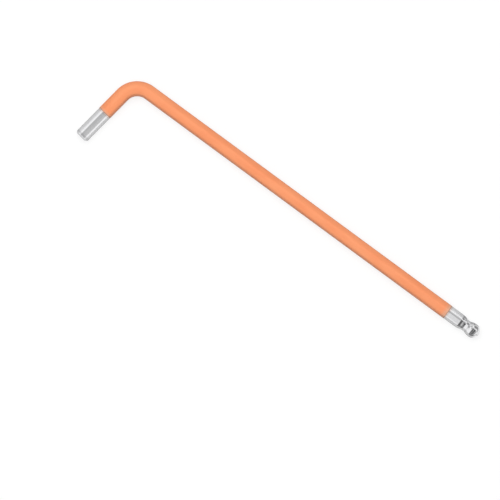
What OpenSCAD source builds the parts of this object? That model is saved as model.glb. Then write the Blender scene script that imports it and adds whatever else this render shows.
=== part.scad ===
// Long hex key with a ball end.
// A hexagonal steel bar, bent once and coated between its two bare ends.
// The key lies flat: long arm along +X with the ball end at +X, short arm towards -Y.
// The origin is under the middle of the key, on the surface that it lies on.

/* [Hexagon bar] */
// Width across the flats, the size of the key
across_flats = 5; // [2:0.5:10]
// Turn of the hexagon about the bar, from a flat that lies level
hex_roll = 15; // [1:1:29]

/* [Arms and bend] */
// Long arm, from where the centre lines cross to the ball tip
long_arm = 161.5; // [60:0.5:300]
// Short arm, from where the centre lines cross to the plain tip
short_arm = 29.2; // [22:0.1:60]
// Angle between the two arms
arm_angle = 98.2; // [90:0.1:110]
// Radius of the bend on the centre line
bend_radius = 7.8; // [6:0.1:10]

/* [Ball end] */
// Distance from the tip to the widest section of the ball
ball_crown = 2.8; // [2.4:0.05:3.2]
// Distance from the tip to the back of the ball
ball_length = 4.85; // [4.2:0.05:5.5]
// Radius of each curved face of the ball
ball_face_radius = 6; // [4:0.5:12]
// Diameter of the round neck behind the ball
neck_diameter = 4.4; // [3.6:0.1:4.6]
// Distance from the tip to where the flats begin to roll over
shoulder_start = 8.5; // [7.5:0.1:12]
// Radius of the flats where they roll over to the neck
shoulder_radius = 4; // [3:0.5:8]
// Slope of the flats where the roll-over begins
shoulder_edge = 6; // [4:1:15]
// Diameter of the small flat at the ball tip
nose_flat = 1.9; // [1:0.1:2.4]
// Slope of the nose cone, from the axis
nose_slope = 45; // [40:1:55]
// Slope of the cone at the back of the ball, from the axis
back_slope = 45; // [35:1:60]

/* [Plain tip] */
// Diameter of the flat end face of the short arm
tip_face = 4.1; // [3:0.1:4.6]
// Slope of the chamfer round the end face, from the axis
tip_slope = 45; // [30:1:60]

/* [Coat] */
// Thickness of the coat
coat_thickness = 0.08; // [0.05:0.01:0.3]
// Bare length of the long arm, from the ball tip to the coat
bare_long = 14.4; // [10:0.1:40]
// Bare length of the short arm, from the plain tip to the coat
bare_short = 12.8; // [3:0.1:14]

/* [Hidden] */
$fn = 96;

sides = 6;
flat_half = across_flats / 2;
corner_radius = flat_half / cos(30);
neck_radius = neck_diameter / 2;
nose_radius = nose_flat / 2;
tip_radius = tip_face / 2;
tip_chamfer = (corner_radius - tip_radius) / tan(tip_slope);

// The roll-over ends once its corners are inside the neck
neck_drop = flat_half - 0.9 * neck_radius * cos(30);
shoulder_low = shoulder_radius * sin(shoulder_edge);
shoulder_height = shoulder_radius * cos(shoulder_edge) - neck_drop;
shoulder_length = sqrt(pow(shoulder_radius, 2) - pow(shoulder_height, 2)) - shoulder_low;

// The cones in front of the ball and behind it would meet outside its corners
back_apex = ball_length + neck_radius / tan(back_slope);
cone_meet = (back_apex * tan(back_slope) - nose_radius) / (tan(nose_slope) + tan(back_slope));

turn = 180 - arm_angle;
tangent_length = bend_radius * tan(turn / 2);
long_straight = long_arm - tangent_length;
short_straight = short_arm - tangent_length;

// Farthest reach of the section in a direction that lies off_corner degrees from a corner
function reach(grow, off_corner) = (flat_half + grow) / cos(30) * cos(off_corner);

x_low = (short_arm - tip_chamfer) * cos(arm_angle) - reach(0, hex_roll) * sin(arm_angle);
y_low = tip_radius * cos(arm_angle) - short_arm * sin(arm_angle);
y_high = reach(coat_thickness, hex_roll);
z_low = -reach(coat_thickness, 30 - hex_roll);

// Cross-section of the bar: x points to the outside of the bend, y points up
module section(grow = 0) {
    rotate(hex_roll)
        circle(r = (flat_half + grow) / cos(30), $fn = sides);
}

// From the bend's own frame, centred on the bend, to the frame of the key
module place() {
    translate([tangent_length - (long_arm + x_low) / 2, -bend_radius - (y_high + y_low) / 2, -z_low])
        rotate([0, 0, 90])
            children();
}

// Frame at the ball tip: z points out along the long arm, x to the outside of the bend
module at_ball_tip() {
    translate([bend_radius, -long_straight, 0])
        rotate([90, 0, 0])
            children();
}

// Frame at the plain tip: z points out along the short arm, x to the outside of the bend
module at_plain_tip() {
    rotate([0, 0, turn])
        translate([bend_radius, short_straight, 0])
            rotate([90, 0, 0])
                mirror([0, 0, 1])
                    children();
}

// The section swept round the bend
module bend(grow = 0) {
    rotate_extrude(angle = turn)
        translate([bend_radius, 0])
            section(grow);
}

// A straight run of the section that ends the given distance inside a tip
module run(length, end_gap, grow = 0) {
    translate([0, 0, -length])
        linear_extrude(length - end_gap)
            section(grow);
}

// Solid whose three pairs of opposite faces all follow one side profile.
// The profile has the bar's axis along y, its tip end at the top, and is cut across each pair.
module six_faces() {
    intersection_for(i = [0:sides / 2 - 1])
        rotate([0, 0, hex_roll + 30 + 60 * i])
            rotate([90, 0, 0])
                linear_extrude(4 * corner_radius, center = true)
                    children();
}

// Side profile between two equal arcs, face to face about the axis
module arc_pair(radius, slope, back, front) {
    middle = flat_half - radius * cos(slope);
    low = -radius * sin(slope);
    intersection() {
        translate([middle, low]) circle(r = radius);
        translate([-middle, low]) circle(r = radius);
        translate([-flat_half, -back]) square([2 * flat_half, back + front]);
    }
}

// The flats roll over into the neck. A short stretch of them lies within the straight run.
module shoulder() {
    translate([0, 0, -shoulder_start])
        six_faces()
            arc_pair(shoulder_radius, shoulder_edge, shoulder_low, shoulder_length);
}

// Six-sided ball with curved faces, a cone behind and a cone in front
module ball() {
    intersection() {
        translate([0, 0, -ball_crown])
            six_faces()
                arc_pair(ball_face_radius, 0, ball_length, 2 * ball_crown);
        rotate_extrude()
            polygon([
                [0, 0],
                [nose_radius, 0],
                [nose_radius + cone_meet * tan(nose_slope), -cone_meet],
                [0, -back_apex]
            ]);
    }
}

module neck() {
    translate([0, 0, -shoulder_start])
        cylinder(r = neck_radius, h = shoulder_start - ball_crown);
}

// Short arm with the chamfer round its end face
module plain_arm() {
    intersection() {
        run(short_straight, 0);
        rotate_extrude()
            polygon([
                [0, 0],
                [tip_radius, 0],
                [tip_radius + short_straight * tan(tip_slope), -short_straight],
                [0, -short_straight]
            ]);
    }
}

module hex_bar() {
    color("silver")
        place() {
            bend();
            at_plain_tip() plain_arm();
            at_ball_tip() {
                run(long_straight, shoulder_start);
                shoulder();
                neck();
                ball();
            }
        }
}

// The section over the bend and the straight runs next to it, and some way past the bare lines
module coated_run(grow, past) {
    bend(grow);
    at_plain_tip() run(short_straight, bare_short - past, grow);
    at_ball_tip() run(long_straight, bare_long - past, grow);
}

module orange_coat() {
    color("coral")
        place()
            difference() {
                coated_run(coat_thickness, 0);
                coated_run(0, coat_thickness);
            }
}

hex_bar();
orange_coat();
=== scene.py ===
import math
from collections import namedtuple

import bpy
import numpy as np
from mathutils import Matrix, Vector


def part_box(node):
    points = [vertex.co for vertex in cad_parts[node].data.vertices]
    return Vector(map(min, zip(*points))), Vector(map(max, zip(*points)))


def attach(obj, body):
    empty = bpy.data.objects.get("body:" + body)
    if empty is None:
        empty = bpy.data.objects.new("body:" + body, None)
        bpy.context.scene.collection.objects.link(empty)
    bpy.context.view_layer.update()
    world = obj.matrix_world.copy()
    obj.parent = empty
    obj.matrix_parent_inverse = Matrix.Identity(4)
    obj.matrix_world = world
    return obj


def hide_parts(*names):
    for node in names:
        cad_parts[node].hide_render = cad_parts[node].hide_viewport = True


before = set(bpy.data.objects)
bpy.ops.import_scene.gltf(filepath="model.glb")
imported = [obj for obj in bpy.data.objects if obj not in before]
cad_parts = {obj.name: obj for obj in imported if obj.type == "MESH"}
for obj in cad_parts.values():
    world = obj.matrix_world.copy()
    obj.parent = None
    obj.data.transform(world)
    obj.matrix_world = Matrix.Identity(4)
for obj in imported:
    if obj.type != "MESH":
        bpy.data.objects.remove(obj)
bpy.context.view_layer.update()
bar_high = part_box("hex_bar")[1]
coat_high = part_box("orange_coat")[1]

# Lengths on the key are in millimetres until its meshes are made. The stage is in metres.
MM = 0.001

# The section: half its width across flats, its turn about the bar, and the coat's thickness
FLAT = 2.5
ROLL = math.radians(15)
COAT = 0.08
HALF_FACE = math.radians(30)
COS30 = math.cos(HALF_FACE)

# The two arms, from where their centre lines cross to their tips, and the bend between them
LONG_ARM = 161.5
SHORT_ARM = 29.2
TURN = math.radians(180 - 98.2)
BEND = 7.8
TANGENT = BEND * math.tan(TURN / 2)

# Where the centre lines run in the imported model
COAT_REACH = (FLAT + COAT) / COS30 * math.cos(ROLL)
AXIS_Z = coat_high.z / MM - COAT_REACH
AXIS_Y = coat_high.y / MM - COAT_REACH
CORNER_X = bar_high.x / MM - LONG_ARM
CENTRE = np.array([CORNER_X + TANGENT, AXIS_Y - BEND])

# Lengths along the centre line, from the plain tip to the ball tip
SHORT_RUN = SHORT_ARM - TANGENT
ARC_RUN = BEND * TURN
LONG_RUN = LONG_ARM - TANGENT
TOTAL = SHORT_RUN + ARC_RUN + LONG_RUN

# The two lengths that the coat leaves bare
BARE_LONG = 14.4
BARE_SHORT = 12.8
LONG_EDGE = TOTAL - BARE_LONG

# The bar has two surfaces. The true one is drawn, and the other only gives its normals, which
# turn evenly round the section and along the ball.
# fullness: 1 is a round bar, a large number a sharp hexagon, and 0 the true rounded hexagon
# crown: how far behind its tip the ball is widest
# front, back: radius of the ball's faces in front of the crown and behind it
# low, rise: how much lower the neck lies, and its slope up towards the ball
# blend: how softly the shoulder runs into the neck
# lift: how much higher the ball lies
Form = namedtuple("Form", "fullness crown front back low rise blend lift")
TRUE_FORM = Form(
    fullness=0, crown=2.95, front=6.0, back=6.0, low=0.0, rise=0.0, blend=0.10, lift=0.0
)
SHADE_FORM = Form(
    fullness=2.6, crown=3.32, front=3.5, back=1.7, low=0.10, rise=0.32, blend=0.06, lift=0.44
)
COAT_FULLNESS = 2.3

# The ball, with distances from its tip. Each face is an arc over a share of its radius, and goes
# on in a straight line. Behind the ball is a cone, and in front of it a nose cone.
BALL_LENGTH = 4.80
BALL_ROUND = 0.2
FACE_ARC = 0.7
FACE_SLOPE = 0.98
BACK_RISE = 1.7
BACK_BLEND = 0.04
NOSE = 0.95
NOSE_RISE = 1.04
NOSE_EDGE = 0.25
NOSE_BLEND = 0.08

# The neck, with its waist, and where its rise towards the ball begins
NECK = 2.24
NECK_FROM = 5.1
WAIST = 6.2
WAIST_ENDS = (4.4, 7.4)
WAIST_SWELL = 0.062
RISE_FROM = 6.25
RISE_LENGTH = 1.05

# The shoulder, whose flats step down, run nearly level and are cut by a turned cone
SHOULDER = 8.65
STEP_LENGTH = 0.83
STEP_SLOPE = math.tan(math.radians(8))
LEVEL_SLOPE = math.tan(math.radians(2.5))
TURNED_FROM = 8.1
TURNED_RADIUS = 2.85
TURNED_SLOPE = 0.42
TURNED_BLEND = 0.05

# The forms of the ball end stay at least this far from the axis
LEAST_RADIUS = 0.4

# The plain end: radius of its face, and the slope of the chamfer round it
TIP = 2.05
TIP_SLOPE = math.radians(45)
TIP_BLEND = 0.05

# Corner rounding of the drawn bar and of the coat, and its largest share of a small section
BAR_ROUND = 0.25
COAT_ROUND = 0.32
MOST_ROUND = 0.45

# The coat thins out to this over a short lip at both ends, and its inside lies deeper in the bar
COAT_EDGE = 0.012
COAT_LIP = 0.25
COAT_SINK = 0.02

# Lengths of the two tips where the rings lie close together, the rings at each end of the coat,
# and the rings on a flat end as shares of its outline
FINE_PLAIN = 2.6
FINE_BALL = 9.4
LIP_RINGS = (0.0, 0.02, 0.05, 0.09, 0.14, 0.2, 0.28, 0.4)
END_RINGS = (0.6, 0.25)

# A band of painted shade behind the plain tip, and a line of painted shade where the ball meets the
# neck
TIP_SHADE_AT = 1.15
CREASE_AT = TOTAL - 4.95


def station(lengths):
    """Centre point and direction out of the bend at each of the lengths from the plain tip."""
    angle = np.clip((SHORT_RUN + ARC_RUN - lengths) / BEND, 0, TURN)
    out = np.stack([-np.sin(angle), np.cos(angle)], 1)
    along = np.stack([np.cos(angle), np.sin(angle)], 1)
    past_long = np.maximum(lengths - SHORT_RUN - ARC_RUN, 0)
    before_short = np.maximum(SHORT_RUN - lengths, 0)
    point = CENTRE + BEND * out + along * (past_long - before_short)[:, None]
    return point, out


def between(first, last, count):
    """Evenly spaced values between two, which are left out."""
    return np.linspace(first, last, count + 2)[1:-1]


def ring_angles(corner_points=9, flat_points=15, half_corner=4.4):
    """Directions round the section, close together at its six corners."""
    angles = []
    for number in range(6):
        corner = math.degrees(ROLL) + 60 * number
        angles += list(corner + np.linspace(-half_corner, half_corner, corner_points))
        angles += list(corner + between(half_corner, 60 - half_corner, flat_points))
    return np.radians(np.array(angles))


def off_corner(angles):
    """Angle from the nearest corner of the hexagon."""
    return (angles - ROLL + HALF_FACE) % (2 * HALF_FACE) - HALF_FACE


def hexagon(angles, apothem, rounding):
    """Distance from the axis to a hexagon with rounded corners, for each apothem and direction."""
    off = np.abs(off_corner(angles))[None, :]
    apothem = apothem[:, None]
    rounding = np.minimum(rounding, MOST_ROUND * apothem)
    centre = (apothem - rounding) / COS30
    sharp = apothem / np.cos(HALF_FACE - off)
    meet = np.arctan2(rounding / 2, centre + rounding * COS30)
    inside = np.maximum(rounding ** 2 - (centre * np.sin(off)) ** 2, 0)
    arc = centre * np.cos(off) + np.sqrt(inside)
    return np.where(off < meet, arc, sharp)


def full_hexagon(angles, apothem, fullness, steps=240):
    """A hexagon whose faces bulge a little, for the shading only: its normals turn evenly."""
    table = np.linspace(0, HALF_FACE, steps + 1)
    normal = HALF_FACE * (1 - (1 - table / HALF_FACE) ** fullness)
    slope = np.tan(table - normal)
    rise = (slope[1:] + slope[:-1]) / 2 * np.diff(table)
    log_radius = np.concatenate([[0], np.cumsum(rise)])
    ratio = np.exp(log_radius - log_radius[-1])
    off = np.abs(off_corner(angles))
    return apothem[:, None] * np.interp(off, table, ratio)[None, :]


def section_of(angles, apothem, rounding, fullness):
    """The true section, or the fuller one that gives the shading."""
    if fullness:
        return full_hexagon(angles, apothem, fullness)
    return hexagon(angles, apothem, rounding)


def round_section(angles, radius):
    """The same radius in every direction, for each ring."""
    return radius[:, None] * np.ones((len(radius), len(angles)))


def soft_min(one, other, blend):
    """The smaller of two surfaces, with a rounded crossing."""
    share = np.clip(0.5 + 0.5 * (other - one) / blend, 0, 1)
    return other * (1 - share) + one * share - blend * share * (1 - share)


def soft_max(one, other, blend):
    """The larger of two surfaces, with a rounded crossing."""
    return -soft_min(-one, -other, blend)


def neck_radius(angles, from_tip, form):
    """Round neck at each distance from the ball's tip, a little narrower at its waist."""
    waist = NECK + WAIST_SWELL * (np.clip(from_tip, *WAIST_ENDS) - WAIST) ** 2
    rise = form.rise * np.clip(RISE_FROM - from_tip, 0, RISE_LENGTH)
    return round_section(angles, waist - form.low + rise)


def shoulder_radius(angles, from_tip, form):
    """Flats that step down, run nearly level and are cut by a turned cone."""
    past = np.maximum(SHOULDER - from_tip, 0)
    apothem = FLAT - STEP_SLOPE * np.minimum(past, STEP_LENGTH)
    apothem = apothem - LEVEL_SLOPE * np.maximum(past - STEP_LENGTH, 0)
    shank = section_of(angles, apothem, BAR_ROUND, form.fullness)
    turned = round_section(angles, TURNED_RADIUS - TURNED_SLOPE * (TURNED_FROM - from_tip))
    return soft_min(shank, np.maximum(turned, LEAST_RADIUS), TURNED_BLEND)


def barrel(from_tip, form):
    """Half width of the ball between two opposite faces."""
    ahead = form.crown - from_tip
    radius = np.where(ahead > 0, form.front, form.back)
    reach = np.minimum(np.abs(ahead), FACE_ARC * radius)
    drop = radius - np.sqrt(radius ** 2 - reach ** 2)
    drop = drop + (np.abs(ahead) - reach) * FACE_SLOPE
    return np.maximum(FLAT - drop, LEAST_RADIUS)


def ball_radius(angles, from_tip, form):
    """Ball with six curved faces, a cone behind it and a nose cone with a small flat."""
    ball = section_of(angles, barrel(from_tip, form), BALL_ROUND, form.fullness)
    back = round_section(angles, NECK + BACK_RISE * (BALL_LENGTH - from_tip))
    edge = NOSE_EDGE * np.clip(1 - from_tip / NOSE_EDGE, 0, 1) ** 2
    nose = round_section(angles, NOSE + NOSE_RISE * from_tip - edge)
    ball = soft_min(ball, np.maximum(back, LEAST_RADIUS), BACK_BLEND)
    return soft_min(ball, nose, NOSE_BLEND) + form.lift


def ball_end_radius(angles, from_tip, form):
    """Surface of the ball, the neck and the shoulder."""
    neck = neck_radius(angles, from_tip, form)
    shoulder = soft_max(shoulder_radius(angles, from_tip, form), neck, form.blend)
    ball = ball_radius(angles, from_tip, form)
    joined = soft_max(ball, neck, BACK_BLEND)
    front = np.where((from_tip < TRUE_FORM.crown)[:, None], ball, joined)
    return np.where((from_tip > NECK_FROM)[:, None], shoulder, front)


def plain_end_radius(angles, from_tip, form):
    """Surface of the plain end at each distance from its tip, with the chamfer round the face."""
    bar = section_of(angles, np.full(len(from_tip), FLAT), BAR_ROUND, form.fullness)
    cone = round_section(angles, TIP + from_tip * math.tan(TIP_SLOPE))
    return soft_min(bar, cone, TIP_BLEND)


def bar_radius(angles, lengths, form):
    ball_end = ball_end_radius(angles, TOTAL - lengths, form)
    plain_end = plain_end_radius(angles, lengths, form)
    return np.where((lengths < TOTAL / 2)[:, None], plain_end, ball_end)


def bend_stations(rings=61):
    """Lengths along the bend, with both its ends."""
    return SHORT_RUN + np.linspace(0, ARC_RUN, rings)


def bar_stations(tip_rings=53, short_rings=12, long_rings=38, ball_rings=236):
    """Lengths along the bar, close together where its form changes."""
    plain_tip = np.linspace(0, FINE_PLAIN, tip_rings)
    short = between(FINE_PLAIN, SHORT_RUN, short_rings)
    long_run = between(SHORT_RUN + ARC_RUN, TOTAL - FINE_BALL, long_rings)
    ball_end = TOTAL - np.linspace(FINE_BALL, 0, ball_rings)
    return np.concatenate([plain_tip, short, bend_stations(), long_run, ball_end])


def coat_stations(short_rings=10, long_rings=58):
    """Lengths along the coat, close together at its two lips."""
    first_lip = BARE_SHORT + np.array(LIP_RINGS)
    last_lip = (LONG_EDGE - np.array(LIP_RINGS))[::-1]
    short = between(first_lip[-1], SHORT_RUN, short_rings)
    long_run = between(SHORT_RUN + ARC_RUN, last_lip[0], long_rings)
    return np.concatenate([first_lip, short, bend_stations(), long_run, last_lip])


def grid_points(lengths, angles, radius):
    """Points of a swept surface in the row frame, and where they lie on the unbent bar."""
    point, out = station(lengths)
    sideways = np.cos(angles)[None, :] * radius
    upward = np.sin(angles)[None, :] * radius
    x = point[:, 0:1] + out[:, 0:1] * sideways
    y = point[:, 1:2] + out[:, 1:2] * sideways
    place = np.stack([x, y, AXIS_Z + upward], 2)
    unbent = np.stack([lengths[:, None] * np.ones_like(sideways), sideways, upward], 2)
    return place.reshape(-1, 3), unbent.reshape(-1, 3)


def grid_normals(lengths, angles, radius):
    """Outward normals of a swept surface at each of its points."""
    rows, columns = radius.shape
    points = grid_points(lengths, angles, radius)[0].reshape(rows, columns, 3)
    round_it = np.roll(points, -1, 1) - np.roll(points, 1, 1)
    along = np.empty_like(points)
    along[1:-1] = points[2:] - points[:-2]
    along[0] = points[1] - points[0]
    along[-1] = points[-1] - points[-2]
    normal = np.cross(round_it, along)
    return (normal / np.linalg.norm(normal, axis=2, keepdims=True)).reshape(-1, 3)


def ring_quads(rows, columns, flip):
    """Quads between neighbouring rings, closed round the section."""
    row = np.arange(rows - 1)[:, None] * columns
    next_row = row + columns
    here = np.arange(columns)[None, :]
    beside = (here + 1) % columns
    quads = np.stack([row + here, row + beside, next_row + beside, next_row + here], 2)
    quads = quads.reshape(-1, 4)
    return quads[:, ::-1] if flip else quads


class Shell:
    """Points, faces and normals of one piece while it is put together."""

    def __init__(self, angles):
        self.angles = angles
        self.columns = len(angles)
        self.points = np.zeros((0, 3))
        self.unbent = np.zeros((0, 3))
        self.normals = np.zeros((0, 3))
        self.faces = []
        self.flat_faces = {}

    def add_points(self, lengths, radius, normals):
        """The points of one or more rings. Returns the index of the first."""
        base = len(self.points)
        points, unbent = grid_points(lengths, self.angles, radius)
        self.points = np.vstack([self.points, points])
        self.unbent = np.vstack([self.unbent, unbent])
        self.normals = np.vstack([self.normals, normals])
        return base

    def add_rings(self, lengths, radius, shading, inside_out=False):
        """A swept surface with another one's normals. Returns the index of its first point."""
        normals = grid_normals(lengths, self.angles, shading)
        base = self.add_points(lengths, radius, -normals if inside_out else normals)
        quads = ring_quads(len(lengths), self.columns, inside_out)
        self.faces += [list(quad + base) for quad in quads]
        return base

    def join(self, first, second, flat=None):
        """Faces between the ring that starts at first and the one that starts at second."""
        for here in range(self.columns):
            beside = (here + 1) % self.columns
            if flat is not None:
                self.flat_faces[len(self.faces)] = flat
            self.faces.append([first + here, first + beside, second + beside, second + here])

    def close(self, ring, length, radius, facing):
        """A flat end over the ring. facing is 1 towards the ball and -1 towards the plain tip."""
        lengths = np.array([length])
        out = station(lengths)[1][0]
        axis = np.array([out[1], -out[0], 0.0]) * facing
        normals = np.repeat(axis[None, :], self.columns, 0)
        for share in END_RINGS:
            inner = self.add_points(lengths, radius[None, :] * share, normals)
            if facing > 0:
                self.join(ring, inner, axis)
            else:
                self.join(inner, ring, axis)
            ring = inner
        fan = list(range(ring, ring + self.columns))
        self.flat_faces[len(self.faces)] = axis
        self.faces.append(fan if facing > 0 else fan[::-1])

    def make(self, name):
        """The finished piece. Each of its flat faces has one normal."""
        mesh = bpy.data.meshes.new(name)
        faces = [list(map(int, face)) for face in self.faces]
        mesh.from_pydata((self.points * MM).tolist(), [], faces)
        layer = mesh.attributes.new("unbent", "FLOAT_VECTOR", "POINT")
        layer.data.foreach_set("vector", (self.unbent * MM).astype(np.float32).ravel())
        mesh.polygons.foreach_set("use_smooth", [True] * len(mesh.polygons))
        mesh.update()
        corners = np.empty(len(mesh.loops), int)
        mesh.loops.foreach_get("vertex_index", corners)
        shade = self.normals[corners]
        for polygon, flat in self.flat_faces.items():
            face = mesh.polygons[polygon]
            shade[face.loop_start : face.loop_start + face.loop_total] = flat
        mesh.normals_split_custom_set(shade.tolist())
        piece = bpy.data.objects.new(name, mesh)
        bpy.context.scene.collection.objects.link(piece)
        return piece


def build_bar():
    angles = ring_angles()
    lengths = bar_stations()
    radius = bar_radius(angles, lengths, TRUE_FORM)
    shell = Shell(angles)
    first = shell.add_rings(lengths, radius, bar_radius(angles, lengths, SHADE_FORM))
    last = first + (len(lengths) - 1) * shell.columns
    shell.close(first, 0.0, radius[0], -1)
    shell.close(last, TOTAL, radius[-1], 1)
    return shell.make("bar")


def build_coat():
    """A thin shell round the bar whose two ends thin out over a short lip."""
    angles = ring_angles()
    lengths = coat_stations()
    end = np.minimum(lengths - BARE_SHORT, LONG_EDGE - lengths)
    swell = np.sqrt(np.clip(1 - (1 - np.clip(end / COAT_LIP, 0, 1)) ** 2, 0, 1))
    apothem = FLAT + COAT_EDGE + (COAT - COAT_EDGE) * swell
    rounding = BAR_ROUND + (COAT_ROUND - BAR_ROUND) * swell
    outer = hexagon(angles, apothem, rounding[:, None])
    inner = hexagon(angles, np.full(len(lengths), FLAT - COAT_SINK), BAR_ROUND)
    shell = Shell(angles)
    outside = shell.add_rings(lengths, outer, full_hexagon(angles, apothem, COAT_FULLNESS))
    inside = shell.add_rings(lengths, inner, inner, True)
    over = (len(lengths) - 1) * shell.columns
    shell.join(inside, outside)
    shell.join(outside + over, inside + over)
    return shell.make("coat")


def linear(*srgb):
    """A colour written as it renders, 0 to 255, as the shader wants it."""
    out = []
    for level in srgb:
        value = level / 255
        out.append(value / 12.92 if value <= 0.04045 else ((value + 0.055) / 1.055) ** 2.4)
    return (*out, 1.0)


def grey(level):
    return (level, level, level, 1.0)


class Nodes:
    """Makes the nodes of one material or world. Each value is a socket or a constant."""

    def __init__(self, tree):
        self.tree = tree
        tree.nodes.clear()

    def feed(self, entry, value):
        """Links a socket to an input, or sets the input to a constant."""
        if isinstance(value, bpy.types.NodeSocket):
            self.tree.links.new(value, entry)
        else:
            entry.default_value = value

    def add(self, kind, **inputs):
        """A new node with its named inputs fed. An underscore stands for a space in a name."""
        node = self.tree.nodes.new(kind)
        for name, value in inputs.items():
            self.feed(node.inputs[name.replace("_", " ")], value)
        return node

    def show(self, result, output="ShaderNodeOutputMaterial"):
        self.feed(self.add(output).inputs[0], result)

    def unbent(self):
        """Place on the unbent bar, so that textures follow the bend."""
        place = self.add("ShaderNodeAttribute")
        place.attribute_name = "unbent"
        return place.outputs["Vector"]

    def noise(self, scale, detail, roughness=0.5):
        """Noise with its own scale along the unbent bar and across it."""
        place = self.add("ShaderNodeMapping", Vector=self.unbent(), Scale=scale)
        vector = place.outputs["Vector"]
        node = self.add("ShaderNodeTexNoise", Vector=vector, Scale=1.0, Detail=detail)
        node.inputs["Roughness"].default_value = roughness
        return node.outputs["Fac"]

    def remap(self, value, low, high, to_low, to_high, curve="LINEAR"):
        node = self.add("ShaderNodeMapRange", Value=value, From_Min=low, From_Max=high)
        node.inputs["To Min"].default_value = to_low
        node.inputs["To Max"].default_value = to_high
        node.interpolation_type = curve
        return node.outputs["Result"]

    def spread(self, noise, low, high, usual=(0.3, 0.7)):
        """Noise from its usual range to another."""
        return self.remap(noise, *usual, low, high)

    def mix(self, factor, low, high):
        """A colour between two."""
        node = self.add("ShaderNodeMix")
        node.data_type = "RGBA"
        for name, value in (("Factor", factor), ("A", low), ("B", high)):
            self.feed(node.inputs[name], value)
        return node.outputs["Result"]

    def reckon(self, operation, *values):
        """The result of a sum on one or two values."""
        node = self.add("ShaderNodeMath")
        node.operation = operation
        for entry, value in zip(node.inputs, values):
            self.feed(entry, value)
        return node.outputs[0]

    def times(self, one, other):
        return self.reckon("MULTIPLY", one, other)

    def larger(self, one, other):
        return self.reckon("MAXIMUM", one, other)

    def near(self, length, full, none):
        """1 where the bar is within full of a length, falling smoothly to 0 at none. Millimetres."""
        along = self.add("ShaderNodeSeparateXYZ", Vector=self.unbent()).outputs["X"]
        away = self.reckon("ABSOLUTE", self.reckon("SUBTRACT", along, length * MM))
        return self.remap(away, full * MM, none * MM, 1.0, 0.0, "SMOOTHSTEP")

    def stain(self, colour, where, share, other):
        """The colour with a share of another one where the mask is 1."""
        return self.mix(self.times(where, share), colour, other)

    def bump(self, height, strength, distance):
        """Returns the node, whose own normal can come from another bump."""
        return self.add("ShaderNodeBump", Height=height, Strength=strength, Distance=distance)

    def ray_kind(self, *kinds):
        """1 for rays of any of these kinds, otherwise 0."""
        path = self.add("ShaderNodeLightPath")
        value = path.outputs[kinds[0]]
        for kind in kinds[1:]:
            value = self.larger(value, path.outputs[kind])
        return value

    def glow(self, kind, level):
        """Light of a grey level, from an emission or a background."""
        return self.add(kind, Color=grey(level), Strength=1.0).outputs[0]

    def mix_shaders(self, factor, first, second):
        node = self.add("ShaderNodeMixShader")
        for entry, value in zip(node.inputs, (factor, first, second)):
            self.feed(entry, value)
        return node.outputs[0]


def new_material(name):
    material = bpy.data.materials.new(name)
    material.use_nodes = True
    return material, Nodes(material.node_tree)


def plated_steel():
    """Bright plating with a fine grain, a film of paint at the coat's ends, a band of painted shade
    behind the plain tip and a line of painted shade where the ball meets the neck.
    """
    material, nodes = new_material("plated_steel")
    grain = nodes.noise((60, 2600, 2600), 4, 0.6)
    cloud = nodes.noise((120, 260, 260), 3)
    fine = nodes.noise((900, 3000, 3000), 2)
    film = nodes.larger(nodes.near(LONG_EDGE, 0.3, 0.8), nodes.near(BARE_SHORT, 0.35, 0.9))
    # Painted shade: a darker band behind the plain tip, standing in for shade on its end
    tip_shade = nodes.near(TIP_SHADE_AT, 0.1, 0.6)
    # Painted shade: a darker line in the hollow where the ball meets the neck
    crease_shade = nodes.near(CREASE_AT, 0.12, 0.5)
    colour = nodes.mix(nodes.spread(cloud, 0, 1), linear(236, 236, 238), linear(244, 244, 245))
    colour = nodes.stain(colour, film, 0.42, linear(222, 186, 168))
    # Painted shade in the steel's colour: the band behind the plain tip and the line where the ball
    # meets the neck
    colour = nodes.stain(colour, tip_shade, 0.3, linear(150, 150, 152))
    colour = nodes.stain(colour, crease_shade, 0.25, linear(140, 140, 142))
    grain_bump = nodes.bump(grain, 0.06, 0.00004)
    fine_bump = nodes.bump(fine, 0.04, 0.00002)
    nodes.feed(fine_bump.inputs["Normal"], grain_bump.outputs["Normal"])
    shader = nodes.add("ShaderNodeBsdfPrincipled", Base_Color=colour, Metallic=1.0)
    nodes.feed(shader.inputs["Roughness"], nodes.spread(grain, 0.14, 0.22))
    nodes.feed(shader.inputs["Normal"], fine_bump.outputs["Normal"])
    nodes.show(shader.outputs[0])
    return material


def coat_paint():
    """Satin paint that thins out in specks at both ends, with a dark line of painted shade where
    each end steps down to the bar.
    """
    material, nodes = new_material("coat")
    peel = nodes.noise((2200, 2600, 2600), 2)
    cloud = nodes.noise((90, 300, 300), 3)
    speck = nodes.remap(nodes.noise((1300, 1700, 1700), 3, 0.6), 0.38, 0.6, 0.45, 0.95)
    short_thin = nodes.times(nodes.near(BARE_SHORT, 0.1, 1.5), 0.75)
    thin = nodes.larger(nodes.near(LONG_EDGE, 0.2, 2.4), short_thin)
    # Painted shade: a dark line on the coat where each of its ends steps down to the bar
    cut = nodes.larger(nodes.near(LONG_EDGE, 0.10, 0.42), nodes.near(BARE_SHORT, 0.12, 0.45))
    colour = nodes.mix(nodes.spread(cloud, 0, 1), linear(239, 144, 96), linear(243, 154, 106))
    colour = nodes.stain(colour, thin, speck, linear(214, 172, 146))
    # The painted shade at the coat's two ends
    colour = nodes.stain(colour, cut, 0.75, linear(158, 120, 100))
    shader = nodes.add("ShaderNodeBsdfPrincipled", Base_Color=colour)
    nodes.feed(shader.inputs["Roughness"], nodes.spread(peel, 0.44, 0.54))
    nodes.feed(shader.inputs["Specular IOR Level"], 0.35)
    nodes.feed(shader.inputs["Normal"], nodes.bump(peel, 0.12, 0.00005).outputs["Normal"])
    nodes.show(shader.outputs[0])
    return material


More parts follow.
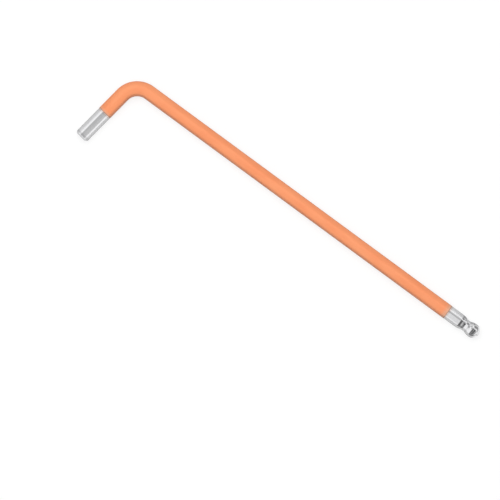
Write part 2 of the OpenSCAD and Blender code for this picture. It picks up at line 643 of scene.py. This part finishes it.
bar = build_bar()
bar.data.materials.append(plated_steel())
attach(bar, "root")
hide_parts("hex_bar")

coat = build_coat()
coat.data.materials.append(coat_paint())
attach(coat, "root")
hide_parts("orange_coat")

# Heights in metres: the floor just under the key, and cards just over the floor, close over the
# key and far over it
FLOOR = -0.00002
LYING = 0.0004
NEAR = 0.05
OVER = 2.5


def stage_face(name, corners):
    """One flat face of the stage."""
    mesh = bpy.data.meshes.new(name)
    mesh.from_pydata(corners, [], [[0, 1, 2, 3]])
    face = bpy.data.objects.new(name, mesh)
    bpy.context.scene.collection.objects.link(face)
    return face


def pale_floor(half=3):
    """White to the camera with a faint shadow, and a pale grey table to the key."""
    signs = ((-1, -1), (1, -1), (1, 1), (-1, 1))
    floor = stage_face("floor", [(x * half, y * half, FLOOR) for x, y in signs])
    material, nodes = new_material("pale_floor")
    seen = nodes.ray_kind("Is Camera Ray", "Is Transmission Ray")
    colour = nodes.mix(seen, grey(0.45), grey(0.95))
    diffuse = nodes.add("ShaderNodeBsdfDiffuse", Color=colour).outputs[0]
    mirrored = nodes.times(nodes.ray_kind("Is Glossy Ray"), 0.25)
    share = nodes.larger(nodes.times(seen, 0.75), mirrored)
    nodes.show(nodes.mix_shaders(share, diffuse, nodes.glow("ShaderNodeEmission", 1)))
    floor.data.materials.append(material)


def studio_world(ambient_level):
    """Even light for the key, white behind it and in its reflections."""
    world = bpy.data.worlds.new("studio")
    bpy.context.scene.world = world
    world.use_nodes = True
    nodes = Nodes(world.node_tree)
    ambient = nodes.glow("ShaderNodeBackground", ambient_level)
    backdrop = nodes.glow("ShaderNodeBackground", 1)
    seen = nodes.ray_kind("Is Camera Ray", "Is Glossy Ray", "Is Transmission Ray")
    nodes.show(nodes.mix_shaders(seen, ambient, backdrop), "ShaderNodeOutputWorld")


def studio_card(name, low, high, level):
    """A card between two opposite corners, square to one axis, that shows only in reflections."""
    (x0, y0, z0), (x1, y1, z1) = low, high
    if z0 == z1:
        corners = [(x0, y0, z0), (x1, y0, z0), (x1, y1, z0), (x0, y1, z0)]
    else:
        corners = [(x0, y0, z0), (x1, y1, z0), (x1, y1, z1), (x0, y0, z1)]
    card = stage_face(name, corners)
    material, nodes = new_material(name)
    nodes.show(nodes.glow("ShaderNodeEmission", level))
    card.data.materials.append(material)
    card.visible_camera = False
    card.visible_diffuse = False
    card.visible_shadow = False
    card.visible_transmission = False


def near_card(name, start, end, level, front=-0.50, back=0.036):
    """A level card close over the key and in front of its ball, from one X to another."""
    studio_card(name, (start, front, NEAR), (end, back, NEAR), level)


def floor_card(name, low, high, level):
    """A level card just over the floor."""
    studio_card(name, (*low, LYING), (*high, LYING), level)


pale_floor()
studio_world(0.52)

# The greyer parts of the studio that the metal shows
studio_card("card_over", (-1.44, -0.40, OVER), (1.88, 1.56, OVER), 0.50)
studio_card("card_behind", (-1.44, 1.56, OVER), (1.44, 4.00, OVER), 0.72)
studio_card("card_front", (-0.26, -2.50, OVER), (0.60, -0.40, OVER), 0.80)
studio_card("card_low_front", (-2.6, -2.6, 0.0), (2.6, -2.6, 0.6), 0.64)
studio_card("card_high_front", (-2.6, -2.6, 0.6), (2.6, -2.6, 1.3), 0.93)

# Cards round the ball and neck
near_card("card_ball_near", 0.0842, 0.096, 0.10)
near_card("card_ball_mid", 0.096, 0.1025, 0.14)
near_card("card_ball_light", 0.1025, 0.1085, 0.45)
near_card("card_ball_low", 0.1085, 0.113, 0.20)
near_card("card_ball_neck", 0.113, 0.134, 0.03)
near_card("card_ball_far", 0.134, 0.24, 0.36)
near_card("card_ball_strip", 0.0842, 0.24, 0.5, front=0.036, back=0.075)
studio_card("card_ball_back", (-0.20, 0.073, 0.105), (-0.012, 0.50, 0.105), 0.15)
studio_card("card_ball_side", (0.110, 0.30, 0.0), (0.27, 0.30, 0.07), 0.10)
studio_card("card_neck_front", (0.120, -0.30, 0.0), (0.60, -0.30, 0.16), 0.10)
floor_card("card_floor_neck", (0.0765, 0.020), (0.0808, 0.30), 0.30)
floor_card("card_floor_side", (0.0885, 0.022), (0.16, 0.20), 0.28)
floor_card("card_floor_front", (0.083, -0.16), (0.125, 0.0045), 0.12)

# Pale cards on the floor before the two tips
floor_card("card_nose", (0.0845, 0.0046), (0.50, 0.0219), 0.95)
floor_card("card_plain_tip", (-0.115, -0.20), (-0.072, -0.0166), 0.70)

lamp_data = bpy.data.lights.new("soft_lamp", "AREA")
lamp_data.shape = "DISK"
lamp_data.size = 1.2
lamp_data.energy = 12.4
lamp = bpy.data.objects.new("soft_lamp", lamp_data)
bpy.context.scene.collection.objects.link(lamp)
lamp.location = (-0.25, 0.17, 1.25)
lamp.rotation_euler = (-Vector(lamp.location)).to_track_quat("-Z", "Y").to_euler()
lamp.visible_glossy = False

# The photograph looks straight down on the key, turned so that the long arm falls to the right
PIXELS_PER_MM = 2.64
PICTURE = 500
CORNER_PIXEL = (135.0, 82.16)
TILT = math.radians(36.33)
HEIGHT = 2000.0
SENSOR = 36
right = np.array([math.cos(TILT), math.sin(TILT)])
up = np.array([-math.sin(TILT), math.cos(TILT)])
shift_right = (PICTURE / 2 - CORNER_PIXEL[0]) / PIXELS_PER_MM
shift_down = (PICTURE / 2 - CORNER_PIXEL[1]) / PIXELS_PER_MM
spot = np.array([CORNER_X, AXIS_Y]) + right * shift_right - up * shift_down

camera_data = bpy.data.cameras.new("camera")
camera_data.sensor_width = SENSOR
camera_data.lens = SENSOR * HEIGHT / (PICTURE / PIXELS_PER_MM)
camera_data.clip_start = 0.1
camera_data.clip_end = 20
camera = bpy.data.objects.new("camera", camera_data)
bpy.context.scene.collection.objects.link(camera)
camera.location = (spot[0] * MM, spot[1] * MM, (AXIS_Z + HEIGHT) * MM)
camera.rotation_euler = (0, 0, TILT)
bpy.context.scene.camera = camera
bpy.context.scene.view_settings.view_transform = "Standard"
